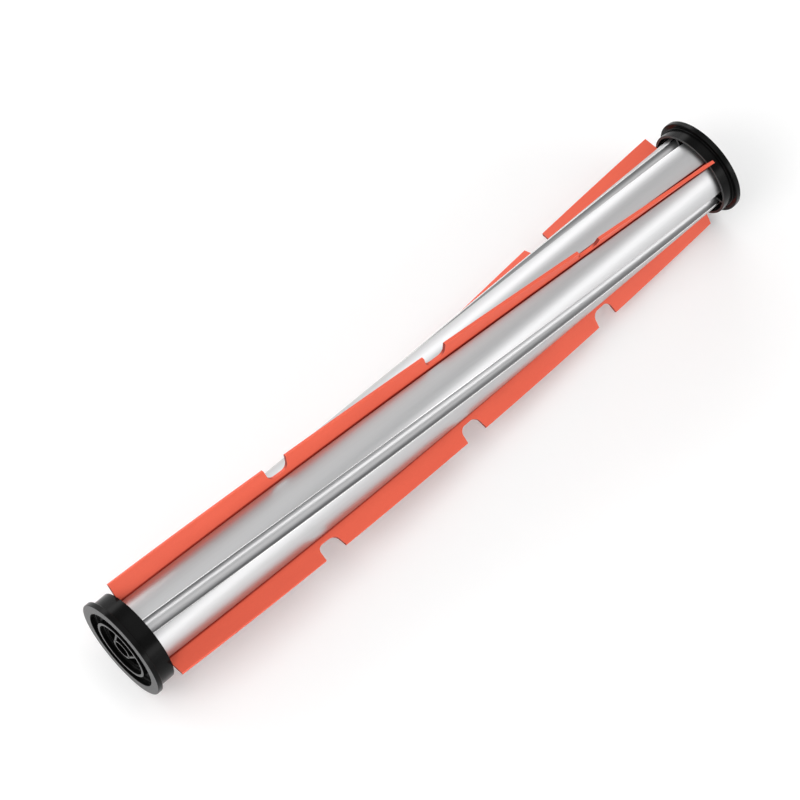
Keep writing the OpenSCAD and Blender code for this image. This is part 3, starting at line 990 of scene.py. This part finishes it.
capSizes = {
    "sides": 160,
    "keyReach": (13.85, 17.2),
    "keyAcross": (0.6, 1.5),
    "faceSlope": (0.5, 0.9),         # X of the normal between which a face takes the painted sheen
}


def capKeys(stations, overlap):
    # one rib for each channel, turned with the helix to the middle of its overlap with the core
    reach, across = capSizes["keyReach"], capSizes["keyAcross"]
    turned = roller["lie"] + roller["rate"] * sum(overlap) / 2
    angles = [turned + (k + 0.5) * roller["bladeStep"] for k in range(roller["blades"])]
    return [barMesh("key", stations, reach, across, angle) for angle in angles]


def makeCap(name, outline, bars, closed):
    plastic = finishes["blackPlastic"]
    shell = turnPart(name + "Shell", outline, plastic, capSizes["sides"], closed=closed)
    slope = capSizes["faceSlope"]
    return finishPiece(name + "Moulding", [shell] + bars, plastic, acrossSlope=slope)


# drive cap: flange, sleeve, ring groove and keyed socket

driveCapSizes = {
    # radius, station, corner radius
    "outline": [
        (0, 12.5, 0),
        (3.25, 12.5, 0), (3.25, 0.5, 0.12), (4.2, 0.5, 0.12), (4.2, 14, 0.2), (8.7, 14, 0.2),
        (8.7, 1.9, 0.1), (10.9, 1.9, 0.25), (10.9, 0, 0.12), (12.1, 0, 0.12), (12.1, 2.4, 0.3),
        (16.1, 2.4, 0.3), (16.1, 0, 0.15), (20, 0, 0.3), (20, 2.1, 0.3), (18.5, 2.1, 0.25),
        (18.5, 8.65, 0.25), (16.95, 8.65, 0.15), (16.95, 5, 0.2), (9.75, 5, 0.15),
        (9.75, 15.8, 0.3), (0, 15.8, 0),
    ],
    "keyhole": math.radians(63.3),   # direction of the keyhole from the first blade
    "flare": math.radians(9.7),      # of its two webs, to each side of that
    "webSide": (3.2, 4.05),
    "webs": [
        # station range and radius range: below the ledge and through it
        ((0.5, 14.2), (0.8, 8.9)),
        ((0.5, 2.2), (8.3, 11.15)),
    ],
    "keys": (4.8, 8.65),             # stations of the key ribs
}


def makeDriveCap():
    cap = driveCapSizes
    bars = []
    low, high = cap["webSide"]
    for side, across in ((-1, (-high, -low)), (1, (low, high))):
        direction = roller["lie"] + cap["keyhole"] + side * cap["flare"]
        bars += [barMesh("web", *ranges, across, direction) for ranges in cap["webs"]]
    bars += capKeys(cap["keys"], (roller["coreStart"], roller["driveMouth"]))
    piece = makeCap("driveCap", cap["outline"], bars, closed=False)
    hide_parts("drive_cap")
    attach(piece, "roller")


makeDriveCap()


# idler cap: flange, thin sleeve with keys, bearing seat

idlerCapSizes = {
    # radius, station, corner radius, with the stations measured inwards from the idler face
    "outline": [
        (9, 0, 0.15), (11, 0, 0.15), (11, 1.6, 0.25), (16.1, 1.6, 0.25), (16.1, 0, 0.15),
        (20, 0, 0.3), (20, 2.1, 0.3), (17.95, 2.1, 0.25), (17.95, 6.8, 0.2), (16.95, 6.8, 0.12),
        (16.95, 3.4, 0.2), (9.75, 3.4, 0.15), (9.75, 8.8, 0.25), (6.6, 8.8, 0.15), (6.6, 7.6, 0.1),
        (8, 7.6, 0), (8, 2.6, 0.05), (9, 2.6, 0),
    ],
    "keys": (285.2, 288.8),          # stations of the key ribs, from the drive face
}


def makeIdlerCap():
    cap = idlerCapSizes
    length = roller["length"] / mm
    outline = [(r, length - s, c) for r, s, c in cap["outline"]]
    bars = capKeys(cap["keys"], (roller["idlerMouth"], roller["coreEnd"]))
    piece = makeCap("idlerCap", outline, bars, closed=True)
    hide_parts("idler_cap")
    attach(piece, "roller")


makeIdlerCap()


# axle and seal, which show at the idler face

axleSizes = {
    # radius, station, corner radius
    "outline": [
        (0, 281.6, 0), (4, 281.6, 0.4), (4, 283.1, 0.02), (3.5, 283.1, 0.05), (3.5, 283.9, 0.05),
        (4, 283.9, 0.02), (4, 289.4, 0), (5, 289.4, 0.1), (5, 290.8, 0.2), (4, 290.8, 0.15),
        (4, 299, 0.4), (0, 299, 0),
    ],
    "sides": 96,
    "sharp": 35,
}

sealSizes = {
    "outline": [(5.25, 290.0, 0.3), (9, 290.0, 0.3), (9, 291.4, 0.35), (5.25, 291.4, 0.35)],
    "sides": 96,
    "cornerSteps": 4,
}


def makeAxle():
    axle, steel = axleSizes, finishes["turnedSteel"]
    shaft = turnPart("axleShaft", axle["outline"], steel, axle["sides"], closed=False)
    piece = finishPiece("stubAxle", [shaft], steel, axle["sharp"])
    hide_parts("axle")
    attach(piece, "stub_axle")


def makeSeal():
    seal, felt = sealSizes, finishes["pressedFelt"]
    ring = turnPart("sealRing", seal["outline"], felt, seal["sides"], seal["cornerSteps"])
    piece = finishPiece("hairSealRing", [ring], felt)
    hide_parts("hair_seal")
    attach(piece, "roller")


makeAxle()
makeSeal()


# the bearing, washer and clip keep their CAD form and take a finish

nodeFinishes = {
    "bearing_outer_ring": "groundSteel",
    "bearing_inner_ring": "groundSteel",
    "bearing_balls": "polishedSteel",
    "bearing_cage": "mouldedNylon",
    "bearing_shield_inner": "pressedSteel",
    "bearing_shield_outer": "pressedSteel",
    "spacer_washer": "platedSteel",
    "axle_clip": "blackenedSteel",
}
for nodeName, finishName in nodeFinishes.items():
    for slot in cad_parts[nodeName].material_slots:
        slot.material = finishes[finishName]
print("nodes finished", len(nodeFinishes))


# floor, light and view

studio = {
    "floorSize": 6.0,
    "floorColour": (0.97, 0.97, 0.97),
    "floorRoughness": 0.9,
    "floorGloss": 0.1,
    "floorLift": 0.06,               # for camera, glossy and transmission rays, to read white
    "tentLight": 3.25,               # light of the tent's brightest band
    "tentBands": [
        # height as the Z of a direction, share of that light
        (0.19, 0.50), (0.31, 1.0), (0.44, 1.0), (0.56, 0.17), (0.80, 0.19), (0.90, 0.38),
    ],
    "nearShare": 0.62,               # light of the half tent beside the drive cap
    "tentMiddle": (-0.01, 0.11),     # X of a direction between which it grows to the full light
    "endShare": 0.2,                 # light of the end beyond the idler cap
    "tentEnd": (0.60, 0.72),         # X of a direction between which it falls to that
    "lamps": [
        # name, place, aim, size across, size along, watts
        ("lampKey", (-1.06, 0, 1.06), (0, 0, 0.02), 0.9, 0.7, 6.0),
        ("lampBack", (-0.46, 1.28, 0.63), (0, 0, 0.02), 0.9, 0.7, 2.0),
    ],
}


def makeFloor():
    half = studio["floorSize"] / 2
    mesh = bpy.data.meshes.new("studioFloor")
    corners = [(-half, -half, 0), (half, -half, 0), (half, half, 0), (-half, half, 0)]
    mesh.from_pydata(corners, [], [(0, 1, 2, 3)])
    floor = looseObject("studioFloor", mesh)
    material = bpy.data.materials.new("studioFloor")
    material.use_nodes = True
    tree = material.node_tree
    shader = tree.nodes["Principled BSDF"]
    shader.inputs["Base Color"].default_value = (*studio["floorColour"], 1)
    shader.inputs["Roughness"].default_value = studio["floorRoughness"]
    shader.inputs["Specular IOR Level"].default_value = studio["floorGloss"]
    shader.inputs["Emission Color"].default_value = (1, 1, 1, 1)
    path = addNode(tree, "ShaderNodeLightPath")
    seen = doSum(tree, "MAXIMUM", path.outputs["Is Camera Ray"], path.outputs["Is Glossy Ray"])
    seen = doSum(tree, "MAXIMUM", seen, path.outputs["Is Transmission Ray"])
    lift = mixedValue(tree, seen, 0.0, studio["floorLift"])
    join(tree, lift, shader.inputs["Emission Strength"])
    mesh.materials.append(material)


def makeWorld():
    # a light tent: bright bands at its sides, a dimmer roof, a dimmer near half and a dark far end
    world = bpy.data.worlds.new("studioWorld")
    bpy.context.scene.world = world
    world.use_nodes = True
    tree = world.node_tree
    shader = tree.nodes["Background"]
    direction = splitVector(tree, addNode(tree, "ShaderNodeTexCoord").outputs["Generated"])
    bands = addNode(tree, "ShaderNodeValToRGB")
    bands.color_ramp.interpolation = "EASE"
    stops = bands.color_ramp.elements
    while len(stops) < len(studio["tentBands"]):
        stops.new(1)
    for stop, (height, share) in zip(stops, studio["tentBands"]):
        stop.position = height
        stop.color = (share, share, share, 1)
    join(tree, direction["Z"], bands.inputs[0])
    near = softStep(tree, direction["X"], studio["tentMiddle"], studio["nearShare"], 1.0)
    far = softStep(tree, direction["X"], studio["tentEnd"], 1.0, studio["endShare"])
    strength = doSum(tree, "MULTIPLY", doSum(tree, "MULTIPLY", near, far), studio["tentLight"])
    join(tree, bands.outputs["Color"], shader.inputs["Color"])
    join(tree, strength, shader.inputs["Strength"])


def makeLamps():
    for name, place, aim, across, along, watts in studio["lamps"]:
        data = bpy.data.lights.new(name, "AREA")
        data.shape = "RECTANGLE"
        data.size = across
        data.size_y = along
        data.energy = watts
        lamp = bpy.data.objects.new(name, data)
        lamp.location = place
        toward = Vector(aim) - Vector(place)
        lamp.rotation_euler = toward.to_track_quat("-Z", "Y").to_euler()
        bpy.context.scene.collection.objects.link(lamp)


makeFloor()
makeWorld()
makeLamps()
bpy.context.scene.view_settings.view_transform = "Standard"
print("studio ready")
